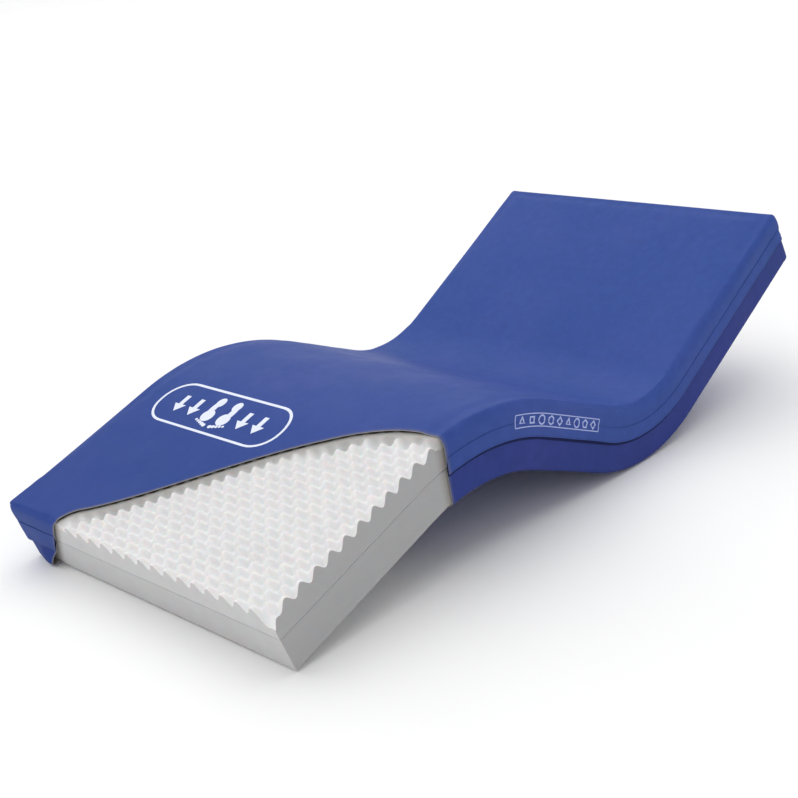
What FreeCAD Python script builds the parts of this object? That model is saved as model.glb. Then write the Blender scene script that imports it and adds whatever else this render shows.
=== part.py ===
"""Pressure relief mattress, shown bent as it lies on a profiling bed.

The mattress is drawn along its neutral line, which runs at half depth from the foot end to the
head end: up the calf section, over the knee, down the thigh section, through the seat and up the
back section. Stations are distances along that line, and heights are measured square to it from
the underside. Every layer is cut at the middle of each small fold, so that the layers can bend.

Frame: +X from foot to head, +Y across, +Z up, origin under the middle of the bounding box.
"""

import FreeCAD, Part
import math
import os

import Sketcher
from FreeCAD import Placement, Rotation, Vector

DIMENSIONS = {
    # The whole mattress.
    "mattress_length": 1970,
    "mattress_width": 880,
    "mattress_depth": 156,
    # The bent pose: inclines and angles in degrees, radii at half depth.
    "calf_incline": 19.4,
    "knee_angle": 42.4,
    "knee_radius": 538,
    "thigh_run": 244,
    "hip_radius": 367,
    "back_incline": 29.5,
    # Two foam layers: heights of their faces above the underside.
    "foam_width": 862,
    "foam_end_gap": 9,
    "base_foam_low": 2,
    "foam_split": 86,
    "top_foam_high": 153,
    # Cover fabric, with its walls set in behind the storm flap.
    "cover_cloth": 1.5,
    "wall_inset": 5,
    "base_wall_high": 78,
    "top_wall_low": 90,
    # Zip that joins the two halves of the cover.
    "zip_tape_low": 68,
    "zip_tape_high": 100,
    "zip_tape_thick": 0.8,
    "zip_chain_low": 82,
    "zip_chain_high": 86,
    "zip_chain_thick": 1.8,
    # Storm flap that hangs over the zip.
    "flap_hem": 74,
    "flap_seam": 108,
    "flap_cloth": 1.2,
    # Zip slider, its pull tab and the end stops, on the head end.
    "slider_rest": 372,
    "slider_long": 15,
    "slider_high": 9,
    "slider_top": 3.2,
    "slider_channel": 4.8,
    "slider_running_gap": 0.3,
    "pull_pin_radius": 0.8,
    "pull_pin_height": 5.8,
    "pull_eye_radius": 1.1,
    "pull_width": 5,
    "pull_long": 30,
    "pull_thick": 1.4,
    "stop_long": 3,
}

# How many small folds each bend is divided into.
KNEE_FOLDS, THIGH_FOLDS, BACK_FOLDS = 3, 2, 2

SECTIONS = ("calf", "knee_lower", "knee_upper", "thigh", "thigh_fold", "seat", "back_fold", "back")

# The corner of the cover that is cut away: its edge as stations and distances across.
WINDOW_FOOT_ACROSS = 250
WINDOW_FOOT_STATION = 32
WINDOW_BEND = (400, -161)
WINDOW_MIDDLE = (478, -288)
WINDOW_SIDE = (520, -440)
WINDOW_SECTIONS = ("calf", "knee_lower")

BEYOND = 60  # how far a cutting shape reaches past what it cuts


def make_sheet(doc):
    """Spreadsheet with one aliased cell for each driving dimension."""
    sheet = doc.addObject("Spreadsheet::Sheet", "Dimensions")
    for row, (alias, value) in enumerate(DIMENSIONS.items(), start=1):
        sheet.set(f"A{row}", alias)
        sheet.set(f"B{row}", str(value))
        sheet.setAlias(f"B{row}", alias)
    doc.recompute()
    return sheet


class NeutralLine:
    """Straight runs and arcs from the foot end to the head end, in the XZ plane."""

    def __init__(self, sheet):
        calf, back = math.radians(sheet.calf_incline), math.radians(sheet.back_incline)
        knee = math.radians(sheet.knee_angle)
        fall = knee - calf  # how steeply the thigh section falls towards the seat
        # The calf run is as long as it takes to stand the foot end level with the seat.
        rise = sheet.mattress_depth / 2 * (1 - math.cos(calf))
        rise -= sheet.knee_radius * (math.cos(fall) - math.cos(calf))
        rise += sheet.thigh_run * math.sin(fall) + sheet.hip_radius * (1 - math.cos(fall))
        calf_run = rise / math.sin(calf) + sheet.wall_inset
        runs = [(calf_run, 0)]
        runs += [(sheet.knee_radius * knee / KNEE_FOLDS, -knee / KNEE_FOLDS)] * KNEE_FOLDS
        runs += [(sheet.thigh_run, 0)]
        runs += [(sheet.hip_radius * fall / THIGH_FOLDS, fall / THIGH_FOLDS)] * THIGH_FOLDS
        runs += [(sheet.hip_radius * back / BACK_FOLDS, back / BACK_FOLDS)] * BACK_FOLDS
        runs += [(sheet.mattress_length - sum(length for length, turn in runs), 0)]
        self.half_depth = sheet.mattress_depth / 2
        self.pieces = []
        station, heading, place = 0.0, calf, Vector(0, 0, 0)
        for length, turn in runs:
            self.pieces.append((station, length, heading, turn, place))
            place = self.along(self.pieces[-1], length)
            station, heading = station + length, heading + turn
        self.fold_stations = [
            start + length / 2 for start, length, heading, turn, place in self.pieces if turn
        ]
        self.shift = Vector(0, 0, 0)
        low_foot = self.point(sheet.wall_inset, sheet.mattress_depth)
        low_head = self.point(sheet.mattress_length - sheet.wall_inset, 0)
        seat = self.point(self.seat_station(), 0)
        self.shift = Vector(-(low_foot.x + low_head.x) / 2, 0, -seat.z)

    @staticmethod
    def along(piece, distance):
        """Point of the neutral line, that far into a run or an arc."""
        start, length, heading, turn, place = piece
        if not turn:
            return place + Vector(math.cos(heading), 0, math.sin(heading)) * distance
        radius = length / turn
        end = heading + turn * distance / length
        across = math.sin(end) - math.sin(heading)
        up = math.cos(heading) - math.cos(end)
        return place + Vector(across, 0, up) * radius

    def seat_station(self):
        """Where the neutral line is level, between the thigh bend and the back bend."""
        return self.pieces[1 + KNEE_FOLDS + 1 + THIGH_FOLDS][0]

    def piece_at(self, station):
        found = self.pieces[0]
        for piece in self.pieces:
            if piece[0] <= station:
                found = piece
        return found

    def heading(self, station):
        start, length, heading, turn, place = self.piece_at(station)
        return heading + turn * (station - start) / length

    def point(self, station, height):
        """Point at that height above the underside, square to the neutral line."""
        piece = self.piece_at(station)
        angle = self.heading(station)
        normal = Vector(-math.sin(angle), 0, math.cos(angle))
        return (
            self.along(piece, station - piece[0])
            + normal * (height - self.half_depth)
            + self.shift
        )

    def curves(self, first, last, height):
        """Lines and arcs that follow the neutral line at that height, in sketch coordinates."""
        marks = [first] + [p[0] for p in self.pieces if first < p[0] < last] + [last]
        found = []
        for low, high in zip(marks, marks[1:]):
            middle = (low + high) / 2
            ends = [flat(self.point(s, height)) for s in (low + 1e-9, middle, high - 1e-9)]
            if self.piece_at(middle)[3]:
                found.append(Part.Arc(*ends))
            else:
                found.append(Part.LineSegment(ends[0], ends[2]))
        return found

    def outline(self, first, last, low, high):
        """Closed side outline of a layer between two stations and two heights."""
        under, over = self.curves(first, last, low), self.curves(first, last, high)
        corners = [flat(self.point(s, h)) for s in (last, first) for h in (low, high)]
        head_end = Part.LineSegment(corners[0], corners[1])
        foot_end = Part.LineSegment(corners[3], corners[2])
        return under + [head_end] + over[::-1] + [foot_end]


def flat(point):
    """A point of the XZ plane in sketch coordinates."""
    return Vector(point.x, point.z, 0)


def add_sketch(body, name, curves, role="XZ_Plane"):
    """Closed sketch on one of the body's own origin planes, with its corners joined."""
    sketch = body.newObject("Sketcher::SketchObject", name)
    plane = next(f for f in body.Origin.OriginFeatures if f.Role == role)
    sketch.AttachmentSupport = [(plane, "")]
    sketch.MapMode = "FlatFace"
    for curve in curves:
        sketch.addGeometry(curve, False)
    for here in range(len(curves)):
        after = (here + 1) % len(curves)
        ends = [(a, b) for a in (1, 2) for b in (1, 2)]
        near = min(
            ends,
            key=lambda e: sketch.getPoint(here, e[0]).distanceToPoint(sketch.getPoint(after, e[1])),
        )
        sketch.addConstraint(Sketcher.Constraint("Coincident", here, near[0], after, near[1]))
    return sketch


def add_feature(body, kind, name, sketch, width):
    """Pad or Pocket of a side outline, centred across the mattress, as wide as an expression."""
    feature = body.newObject(f"PartDesign::{kind}", name)
    feature.Profile = sketch
    feature.SideType = "Symmetric"
    feature.setExpression("Length", width)
    return feature


def slab(body, line, name, span, low, high, width, kind="Pad"):
    """Pads or pockets one layer of the mattress between two stations and two heights."""
    sketch = add_sketch(body, f"{name}_outline", line.outline(*span, low, high))
    return add_feature(body, kind, name, sketch, width)


def cut_window(body, line, sheet):
    """Cuts the foot corner of the cover away, with one straight slant and one arc to the side."""
    top = sheet.mattress_depth

    def corner(station, across):
        return Vector(line.point(station, top).x, across, 0)

    foot = line.point(0, top).x - BEYOND
    side = corner(*WINDOW_SIDE)
    past = -sheet.mattress_width / 2 - BEYOND
    points = [
        Vector(foot, past, 0),
        Vector(foot, WINDOW_FOOT_ACROSS, 0),
        corner(WINDOW_FOOT_STATION, WINDOW_FOOT_ACROSS),
        corner(*WINDOW_BEND),
    ]
    curves = [Part.LineSegment(a, b) for a, b in zip(points, points[1:])]
    curves.append(Part.Arc(points[-1], corner(*WINDOW_MIDDLE), side))
    curves.append(Part.LineSegment(side, Vector(side.x, past, 0)))
    curves.append(Part.LineSegment(Vector(side.x, past, 0), points[0]))
    sketch = add_sketch(body, "window_outline", curves, "XY_Plane")
    add_feature(body, "Pocket", "window", sketch, "4 * Dimensions.mattress_length")


def new_body(doc, label):
    body = doc.addObject("PartDesign::Body", label)
    body.Label = label
    body.AllowCompound = True
    return body


class Section:
    """One length of the mattress between two cuts, with the layers that it carries."""

    def __init__(self, doc, sheet, line, name, first, last):
        self.doc, self.sheet, self.line, self.name = doc, sheet, line, name
        self.first, self.last = first, last
        self.at_foot = name == SECTIONS[0]
        self.at_head = name == SECTIONS[-1]

    def span(self, foot_inset, head_inset=None):
        """The section's two stations, set in from the mattress's own ends."""
        head_inset = foot_inset if head_inset is None else head_inset
        first = self.first + foot_inset if self.at_foot else self.first
        last = self.last - head_inset if self.at_head else self.last
        return first, last

    def past(self, foot_inset, head_inset=None):
        """As span, but running past the cuts, for a pocket."""
        first, last = self.span(foot_inset, head_inset)
        return first if self.at_foot else first - 1, last if self.at_head else last + 1

    def foam(self, kind, low, high):
        body = new_body(self.doc, f"foam_{kind}_{self.name}")
        span = self.span(self.sheet.foam_end_gap)
        slab(body, self.line, "slab", span, low, high, "Dimensions.foam_width")
        return body

    def cover(self, kind, low, high, hollow_low, hollow_high):
        """Half of the cover: one face with its walls turned over the edges."""
        sheet = self.sheet
        body = new_body(self.doc, f"cover_{kind}_{self.name}")
        outer = "Dimensions.mattress_width - 2 * Dimensions.wall_inset"
        inner = f"{outer} - 2 * Dimensions.cover_cloth"
        hollow = self.past(sheet.wall_inset + sheet.cover_cloth)
        slab(body, self.line, "shell", self.span(sheet.wall_inset), low, high, outer)
        slab(body, self.line, "hollow", hollow, hollow_low, hollow_high, inner, "Pocket")
        return body

    def zip_strip(self):
        """Both zip tapes and the closed chain between them, sewn round the outside of the walls."""
        sheet = self.sheet
        body = new_body(self.doc, f"zip_{self.name}")
        wall = "Dimensions.mattress_width - 2 * Dimensions.wall_inset"
        layers = (
            ("tape", sheet.zip_tape_low, sheet.zip_tape_high, sheet.zip_tape_thick),
            ("chain", sheet.zip_chain_low, sheet.zip_chain_high, sheet.zip_chain_thick),
        )
        for name, low, high, thick in layers:
            span = self.span(sheet.wall_inset - thick)
            width = f"{wall} + 2 * Dimensions.zip_{name}_thick"
            slab(body, self.line, name, span, low, high, width)
        hollow = self.past(sheet.wall_inset)
        low, high = sheet.zip_tape_low - 1, sheet.zip_tape_high + 1
        slab(body, self.line, "hollow", hollow, low, high, wall, "Pocket")
        return body

    def storm_flap(self):
        """Strip that hangs over the zip from a turned-in seam, on the sides and the foot end."""
        sheet = self.sheet
        body = new_body(self.doc, f"storm_flap_{self.name}")
        outer = "Dimensions.mattress_width"
        low, high, cloth = sheet.flap_hem, sheet.flap_seam, sheet.flap_cloth
        slab(body, self.line, "strip", self.span(0, sheet.wall_inset), low, high, outer)
        behind = self.past(cloth, sheet.wall_inset - 1)
        inner = f"{outer} - 2 * Dimensions.flap_cloth"
        slab(body, self.line, "behind", behind, low - 1, high - cloth, inner, "Pocket")
        within = self.past(sheet.wall_inset, sheet.wall_inset - 1)
        wall = f"{outer} - 2 * Dimensions.wall_inset"
        slab(body, self.line, "within", within, low - 1, high + 1, wall, "Pocket")
        return body

    def build(self):
        sheet = self.sheet
        depth, cloth = sheet.mattress_depth, sheet.cover_cloth
        foam = [
            self.foam("base", sheet.base_foam_low, sheet.foam_split),
            self.foam("top", sheet.foam_split, sheet.top_foam_high),
        ]
        skin = [
            self.cover("base", 0, sheet.base_wall_high, cloth, sheet.base_wall_high + 1),
            self.cover("top", sheet.top_wall_low, depth, sheet.top_wall_low - 1, depth - cloth),
            self.zip_strip(),
            self.storm_flap(),
        ]
        if self.name in WINDOW_SECTIONS:
            for body in skin:
                cut_window(body, self.line, sheet)
        return foam + skin


def head_end_place(line, sheet, across):
    """Placement on the head end wall at the zip's height: x along -Y, y down the wall, z outward."""
    station = sheet.mattress_length - sheet.wall_inset
    height = (sheet.zip_chain_low + sheet.zip_chain_high) / 2
    angle = line.heading(station)
    outward = Vector(math.cos(angle), 0, math.sin(angle))
    downward = Vector(math.sin(angle), 0, -math.cos(angle))
    turn = Rotation(Vector(0, -1, 0), downward, outward, "ZXY")
    return Placement(line.point(station, height) + Vector(0, across, 0), turn)


def add_box(doc, name, sizes, corner):
    """Part box with its three sizes and its corner as expressions of the sheet's cells."""
    box = doc.addObject("Part::Box", name)
    for side, size in zip(("Length", "Width", "Height"), sizes):
        box.setExpression(side, size)
    for axis, value in zip("xyz", corner):
        box.setExpression(f"Placement.Base.{axis}", value)
    return box


def add_pin(doc, name, radius, long, centre_height):
    """Part cylinder along the slider's y axis, centred on it."""
    pin = doc.addObject("Part::Cylinder", name)
    pin.setExpression("Radius", radius)
    pin.setExpression("Height", long)
    pin.Placement.Rotation = Rotation(Vector(1, 0, 0), -90)
    pin.setExpression("Placement.Base.y", f"-({long}) / 2")
    pin.setExpression("Placement.Base.z", centre_height)
    return pin


def join(doc, label, shapes):
    fuse = doc.addObject("Part::MultiFuse", label)
    fuse.Shapes = shapes
    fuse.Label = label
    return fuse


def slider(doc):
    """Zip slider: a cap that runs along the chain, with two ears and a pin for the pull tab."""
    low = "Dimensions.zip_tape_thick + Dimensions.slider_running_gap"
    cap = add_box(
        doc,
        "slider_cap",
        ("Dimensions.slider_long", "Dimensions.slider_high", f"Dimensions.slider_top - ({low})"),
        ("-Dimensions.slider_long / 2", "-Dimensions.slider_high / 2", low),
    )
    channel = add_box(
        doc,
        "slider_channel",
        (
            "Dimensions.slider_long + 2",
            "Dimensions.slider_channel",
            "Dimensions.zip_chain_thick + Dimensions.slider_running_gap",
        ),
        ("-Dimensions.slider_long / 2 - 1", "-Dimensions.slider_channel / 2", "0"),
    )
    capped = doc.addObject("Part::Cut", "slider_body")
    capped.Base, capped.Tool = cap, channel
    pieces = [capped]
    gap = "(Dimensions.pull_width / 2 + Dimensions.slider_running_gap)"
    for side in ("upper", "lower"):
        across = gap if side == "upper" else "-Dimensions.slider_high / 2"
        pieces.append(
            add_box(
                doc,
                f"slider_ear_{side}",
                (
                    "4 * Dimensions.pull_pin_radius",
                    f"Dimensions.slider_high / 2 - {gap}",
                    "Dimensions.pull_pin_height + 2 * Dimensions.pull_pin_radius"
                    " - Dimensions.slider_top",
                ),
                ("-2 * Dimensions.pull_pin_radius", across, "Dimensions.slider_top"),
            )
        )
    pin = add_pin(
        doc,
        "slider_pin",
        "Dimensions.pull_pin_radius",
        "Dimensions.slider_high",
        "Dimensions.pull_pin_height",
    )
    return join(doc, "zip_slider", pieces + [pin])


def pull_tab(doc):
    """Pull tab: an eye round the slider's pin, and a plate that lies flat along the zip."""
    outer = "2 * Dimensions.pull_eye_radius"
    eye = add_pin(
        doc, "pull_eye_outside", outer, "Dimensions.pull_width", "Dimensions.pull_pin_height"
    )
    plate = add_box(
        doc,
        "pull_plate",
        ("Dimensions.pull_long", "Dimensions.pull_width", "Dimensions.pull_thick"),
        (
            "0",
            "-Dimensions.pull_width / 2",
            "Dimensions.pull_pin_height - Dimensions.pull_thick / 2",
        ),
    )
    bore = add_pin(
        doc,
        "pull_bore",
        "Dimensions.pull_eye_radius",
        "Dimensions.pull_width + 2",
        "Dimensions.pull_pin_height",
    )
    solid = join(doc, "pull_solid", [eye, plate])
    tab = doc.addObject("Part::Cut", "zip_pull_tab")
    tab.Base, tab.Tool = solid, bore
    return tab


def end_stops(doc):
    """The zip's two end stops, one each side of where its ends meet."""
    stops = []
    reach = "Dimensions.slider_long / 2 + Dimensions.slider_running_gap"
    places = {
        "top": f"-({reach} + Dimensions.stop_long)",
        "bottom": f"-({reach} + 3 * Dimensions.stop_long)",
    }
    for name, place in places.items():
        stops.append(
            add_box(
                doc,
                f"stop_{name}",
                (
                    "Dimensions.stop_long",
                    "Dimensions.slider_channel + 2",
                    "Dimensions.zip_chain_thick",
                ),
                (
                    place,
                    "-Dimensions.slider_channel / 2 - 1",
                    "Dimensions.zip_chain_thick",
                ),
            )
        )
    return join(doc, "zip_end_stops", stops)


def check(doc, parts):
    """Stops the script if any object failed, or a sub-part has no valid shape."""
    for item in doc.Objects:
        bad = [state for state in item.State if state in ("Invalid", "Error")]
        if bad:
            raise RuntimeError(f"{item.Name} is {bad}")
    for part in parts:
        if part.Shape.isNull() or not part.Shape.isValid() or part.Shape.Volume <= 0:
            raise RuntimeError(f"{part.Label} has no valid shape")


def main():
    doc = FreeCAD.newDocument("pressure_relief_mattress")
    sheet = make_sheet(doc)
    line = NeutralLine(sheet)
    cuts = [0.0] + line.fold_stations + [float(sheet.mattress_length)]
    parts = []
    for name, first, last in zip(SECTIONS, cuts, cuts[1:]):
        parts += Section(doc, sheet, line, name, first, last).build()
    hardware = [slider(doc), pull_tab(doc), end_stops(doc)]
    for piece in hardware:
        piece.Placement = head_end_place(line, sheet, sheet.slider_rest)
    parts += hardware
    doc.recompute()
    check(doc, parts)
    os.makedirs("parts", exist_ok=True)
    for part in parts:
        part.Shape.exportStep(f"parts/{part.Label}.step")
        box = part.Shape.BoundBox
        solids = len(part.Shape.Solids)
        print(f"{part.Label:26s} {solids} solids {part.Shape.Volume / 1e3:10.1f} cm3 {box}")
    whole = Part.makeCompound([part.Shape for part in parts]).BoundBox
    print("whole", whole)


main()
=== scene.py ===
"""Looks of the pressure relief mattress: shaped foam in a zipped cover, bent as on a profiling bed.

Every layer is first laid out flat in mattress coordinates, in metres: the station along it from the
foot end, the distance across, and the height above its underside. The neutral line then bends it.
"""

import math

import bpy
import numpy as np
from mathutils import Matrix, Vector
from mathutils.bvhtree import BVHTree


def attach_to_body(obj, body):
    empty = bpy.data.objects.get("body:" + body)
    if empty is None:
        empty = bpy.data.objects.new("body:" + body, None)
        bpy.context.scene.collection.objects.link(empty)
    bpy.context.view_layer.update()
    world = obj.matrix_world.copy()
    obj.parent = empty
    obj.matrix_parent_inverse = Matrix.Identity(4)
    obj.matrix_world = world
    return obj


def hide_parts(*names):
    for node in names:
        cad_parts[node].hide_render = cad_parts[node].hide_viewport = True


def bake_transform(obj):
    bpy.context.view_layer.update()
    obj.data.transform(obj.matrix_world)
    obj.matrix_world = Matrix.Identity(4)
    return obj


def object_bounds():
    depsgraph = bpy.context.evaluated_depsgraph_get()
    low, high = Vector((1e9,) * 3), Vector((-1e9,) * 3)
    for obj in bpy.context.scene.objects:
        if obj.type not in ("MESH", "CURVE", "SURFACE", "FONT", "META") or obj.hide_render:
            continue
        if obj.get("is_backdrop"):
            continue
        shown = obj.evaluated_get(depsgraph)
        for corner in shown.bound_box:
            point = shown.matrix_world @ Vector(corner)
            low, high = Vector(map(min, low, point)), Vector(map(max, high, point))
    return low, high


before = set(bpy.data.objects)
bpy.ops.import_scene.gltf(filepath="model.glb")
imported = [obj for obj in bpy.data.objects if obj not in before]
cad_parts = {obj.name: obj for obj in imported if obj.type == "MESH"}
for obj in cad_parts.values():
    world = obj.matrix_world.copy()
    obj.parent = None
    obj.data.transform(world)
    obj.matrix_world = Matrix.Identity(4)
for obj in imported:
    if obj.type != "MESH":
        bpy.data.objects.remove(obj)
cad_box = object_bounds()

# Size and bends of the mattress, as in the CAD model.
LENGTH, WIDTH, DEPTH = 1.970, 0.880, 0.156
CALF_INCLINE, KNEE_ANGLE, BACK_INCLINE = math.radians(19.4), math.radians(42.4), math.radians(29.5)
KNEE_RADIUS, THIGH_RUN, HIP_RADIUS = 0.538, 0.244, 0.367
KNEE_FOLDS, THIGH_FOLDS, BACK_FOLDS = 3, 2, 2

# The layers of the side wall, as heights above the underside.
WALL_INSET = 0.005
BASE_WALL_HIGH, TOP_WALL_LOW = 0.078, 0.090
FLAP_SEAM, FLAP_HEM = 0.108, 0.074
FOAM_END, FOAM_HALF_WIDTH = 0.009, 0.431
FOAM_LOW, FOAM_SPLIT, FOAM_HIGH = 0.002, 0.086, 0.153
CLOTH = 0.0015


def stacked(*columns):
    """One array with those columns, which may be single numbers, along a new last axis."""
    return np.stack(np.broadcast_arrays(*columns), -1).astype(float)


class NeutralLine:
    """The bent line at half depth, as straight runs and arcs in the XZ plane."""

    def __init__(self):
        fall = KNEE_ANGLE - CALF_INCLINE
        rise = DEPTH / 2 * (1 - math.cos(CALF_INCLINE))
        rise -= KNEE_RADIUS * (math.cos(fall) - math.cos(CALF_INCLINE))
        rise += THIGH_RUN * math.sin(fall) + HIP_RADIUS * (1 - math.cos(fall))
        runs = [(rise / math.sin(CALF_INCLINE) + WALL_INSET, 0.0)]
        runs.append((KNEE_RADIUS * KNEE_ANGLE, -KNEE_ANGLE))
        runs.append((THIGH_RUN, 0.0))
        runs.append((HIP_RADIUS * fall, fall))
        runs.append((HIP_RADIUS * BACK_INCLINE, BACK_INCLINE))
        runs.append((LENGTH - sum(run[0] for run in runs), 0.0))
        self.long, self.turn = (np.array(column) for column in zip(*runs))
        self.start = np.concatenate([[0.0], np.cumsum(self.long)[:-1]])
        self.heading = CALF_INCLINE + np.concatenate([[0.0], np.cumsum(self.turn)[:-1]])
        self.place, self.shift = np.zeros((len(runs), 2)), np.zeros(2)
        for run in range(1, len(runs)):
            self.place[run] = self.at(self.start[run], run - 1)[0]
        foot = self.point(WALL_INSET, DEPTH)
        head = self.point(LENGTH - WALL_INSET, 0)
        self.shift = np.array([-(foot[0] + head[0]) / 2, -self.point(self.start[4], 0)[2]])

    def at(self, station, run=None):
        """Places on the line, and headings, on the given run or on the one where each station lies."""
        if run is None:
            run = np.clip(np.searchsorted(self.start, station, "right") - 1, 0, len(self.start) - 1)
        gone = station - self.start[run]
        turned = self.turn[run] * gone / self.long[run]
        middle = self.heading[run] + turned / 2
        chord = gone * np.sinc(turned / 2 / math.pi)
        return self.place[run] + stacked(chord * np.cos(middle), chord * np.sin(middle)), middle + turned / 2

    def bend(self, flat):
        """Mattress coordinates to places in the frame; both have x, y and z along the last axis."""
        station, across, height = np.moveaxis(np.asarray(flat, float), -1, 0)
        line, heading = self.at(station)
        out = height - DEPTH / 2
        x = line[..., 0] - np.sin(heading) * out + self.shift[0]
        z = line[..., 1] + np.cos(heading) * out + self.shift[1]
        return stacked(x, across, z)

    def point(self, station, height, across=0.0):
        """One place in the frame."""
        return self.bend((station, across, height))

    def forward(self, station):
        """Unit vectors along the mattress, towards the head end."""
        heading = self.at(station)[1]
        return stacked(np.cos(heading), 0, np.sin(heading))

    def upward(self, station):
        """Unit vectors square to the mattress's underside."""
        heading = self.at(station)[1]
        return stacked(-np.sin(heading), 0, np.cos(heading))

    def folds(self):
        """Stations of the hinges, from the foot end."""
        found = []
        for run, count in ((1, KNEE_FOLDS), (3, THIGH_FOLDS), (4, BACK_FOLDS)):
            found += list(self.start[run] + self.long[run] * (np.arange(count) + 0.5) / count)
        return found


LINE = NeutralLine()
FOLDS = LINE.folds()

# Each soft layer is made in one go and then parted halfway between hinges, so that every piece
# crosses one hinge. Two partings lie elsewhere: past the printed strip on the side, and where the
# mattress is lowest.
BODIES = ["calf", "knee_lower", "knee_upper", "thigh", "thigh_fold", "seat", "back_fold", "back"]
SEGMENTS = ["foot", "knee_low", "knee_high", "thigh_end", "hip_front", "hip_back", "backrest"]
STRIP_END = 1.040
PARTINGS = [(a + b) / 2 for a, b in zip(FOLDS, FOLDS[1:])]
PARTINGS[2] = STRIP_END
PARTINGS[4] = float(LINE.start[4])
EDGES = [-0.05] + PARTINGS + [LENGTH + 0.05]
BLEND_REACH, BLEND_MARGIN = 0.067, 0.010


def attach(piece, segment, layer=None, slot=None):
    """Applies a piece's transform and hides the CAD parts of its layer on that segment; the ends of the
    hinge's reach are worked out but not used.
    """
    fold = FOLDS[segment]
    reach = min(fold - EDGES[segment], EDGES[segment + 1] - fold, BLEND_REACH) - BLEND_MARGIN
    ends = [Vector(LINE.point(fold + side * reach, DEPTH / 2)) for side in (-1, 1)]
    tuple(ends[0])
    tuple(ends[1])
    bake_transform(piece)
    if layer:
        nodes = [f"{layer}_{BODIES[segment]}"]
        if segment == len(SEGMENTS) - 1:
            nodes.append(f"{layer}_{BODIES[-1]}")
        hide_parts(*nodes)
    if slot or layer:
        slot or layer


# ---------------------------------------------------------------- meshes


# Where grid lines meet a round edge, as shares of its radius.
ROUND_LINES = [1 - math.tan(math.radians(angle)) for angle in (30, 15, 0)]


def lines(first, last, step, fixed=(), edge=0.0):
    """Grid lines no further apart than about step, through the fixed ones, closer at a round edge."""
    near = [edge * share for share in ROUND_LINES] if edge else []
    marks = [first] + [first + n for n in near] + sorted(fixed) + [last - n for n in near[::-1]] + [last]
    found = [first]
    for low, high in zip(marks, marks[1:]):
        count = max(1, math.ceil((high - low) / step - 0.01))
        found += list(np.linspace(low, high, count + 1)[1:])
    return np.array(found)


def quads(grid, flip=False):
    """Faces of a 2-D grid of vertex numbers."""
    a, b, c, d = grid[:-1, :-1], grid[1:, :-1], grid[1:, 1:], grid[:-1, 1:]
    found = np.stack([a, b, c, d], -1).reshape(-1, 4)
    return found[:, ::-1] if flip else found


def around(rings, count, flip=True):
    """Faces between closed rings of points, all with the same count."""
    grid = np.arange(rings * count).reshape(rings, count)
    return Faces.of(quads(np.hstack([grid, grid[:, :1]]), flip))


def closed_box(along, across, up):
    """Surface of a box as a welded grid: its points and its outward faces."""
    shape = (len(along), len(across), len(up))
    skin = np.zeros(shape, bool)
    skin[[0, -1]] = skin[:, [0, -1]] = skin[:, :, [0, -1]] = True
    ids = np.full(shape, -1)
    ids[skin] = np.arange(skin.sum())
    points = np.stack(np.meshgrid(along, across, up, indexing="ij"), -1)[skin]
    faces = [quads(ids[:, :, -1]), quads(ids[:, :, 0], True), quads(ids[:, 0]), quads(ids[:, -1], True)]
    faces += [quads(ids[0], True), quads(ids[-1])]
    return points, np.concatenate(faces)


def rounded(points, low, high, plan, over, under):
    """Rounds a box's edges: the upright ones by plan, the top ones by over, the bottom ones by under.

    Each may be one radius, or one for every point.
    """
    low, high = np.array(low), np.array(high)
    upper = points[:, 2] > (low[2] + high[2]) / 2
    reach = stacked(*[np.full(len(points), plan)] * 2, np.where(upper, over, under))
    inner = np.clip(points, low + reach, high - reach)
    out = (points - inner) / reach
    far = np.abs(out).max(1, keepdims=True)
    size = np.linalg.norm(out, axis=1, keepdims=True)
    return inner + reach * out * far / np.maximum(size, 1e-9)


class Faces:
    """Faces of any number of corners: every corner's vertex in one row, and each face's count."""

    def __init__(self, corners, counts):
        self.corners, self.counts = np.asarray(corners, int), np.asarray(counts, int)
        self.starts = np.concatenate([[0], np.cumsum(self.counts)[:-1]]).astype(int)

    @classmethod
    def of(cls, faces):
        """From an array of faces with the same count, or a list of any faces."""
        if isinstance(faces, np.ndarray):
            return cls(faces.ravel(), np.full(len(faces), faces.shape[1]))
        return cls([v for face in faces for v in face], [len(face) for face in faces])

    def __add__(self, other):
        corners = np.concatenate([self.corners, other.corners])
        return Faces(corners, np.concatenate([self.counts, other.counts]))

    def shifted(self, by):
        """The same faces on vertices whose numbers are that much higher."""
        return Faces(self.corners + by, self.counts)

    def flipped(self):
        """The same faces, looking the other way."""
        order = np.repeat(2 * self.starts + self.counts - 1, self.counts) - np.arange(len(self.corners))
        return Faces(self.corners[order], self.counts)

    def chosen(self, kept):
        """Only the faces marked as kept."""
        return Faces(self.corners[np.repeat(kept, self.counts)], self.counts[kept])

    def middles(self, values):
        """Mean of the corners' values, for each face."""
        return np.add.reduceat(values[self.corners], self.starts) / self.counts[:, None]

    def following(self):
        """The corner after each corner, round its own face."""
        after = np.roll(self.corners, -1)
        after[self.starts + self.counts - 1] = self.corners[self.starts]
        return after

    def rim(self):
        """Edges that only one face uses, as that face's (from, to) pairs."""
        first, second = self.corners, self.following()
        size = int(self.corners.max()) + 1
        alone = ~np.isin(first * size + second, second * size + first)
        return np.stack([first[alone], second[alone]], -1)


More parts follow.
